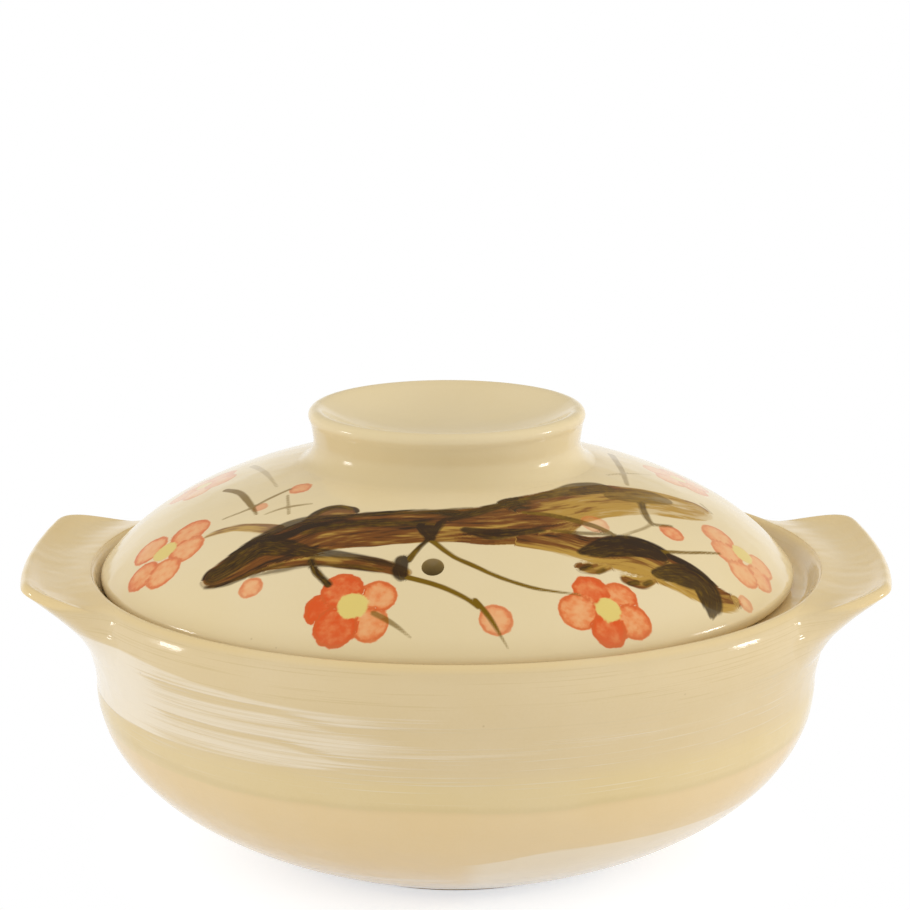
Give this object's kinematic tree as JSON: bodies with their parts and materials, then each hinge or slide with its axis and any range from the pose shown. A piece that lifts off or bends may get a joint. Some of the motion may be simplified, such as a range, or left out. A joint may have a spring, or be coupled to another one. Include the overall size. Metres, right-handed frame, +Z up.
{
  "type": "donabe clay pot",
  "caption": "Round lidded clay hot-pot: a deep rounded bowl with a lid seat inside its rim, wing-like lug handles, a low foot ring, and a domed lid with a steam hole and a ring grip.",
  "frame": {"origin": "on the bowl's axis, in the plane that the foot ring stands on", "axes": "+X along the line through the two lugs, to the right as the pot is seen from the front; +Y to the back; +Z up"},
  "size_m": [0.2948, 0.26, 0.1544],
  "materials": {
    "pot_glaze": "clear cream glaze over brushed white slip",
    "lid_glaze": "clear cream glaze over painted plum branch",
    "bare_clay": "unglazed fired clay"
  },
  "bodies": {
    "pot": {"pot_body": "pot_glaze", "foot_ring": "bare_clay", "lug_left": "pot_glaze", "lug_right": "pot_glaze"},
    "lid": {"lid_shell": "lid_glaze", "lid_ring_grip": "lid_glaze"}
  },
  "joints": [
    {"name": "lid_lift", "type": "slide", "parent": "pot", "child": "lid", "axis": [0, 0, 1], "range_m": [0, 0.15]}
  ]
}
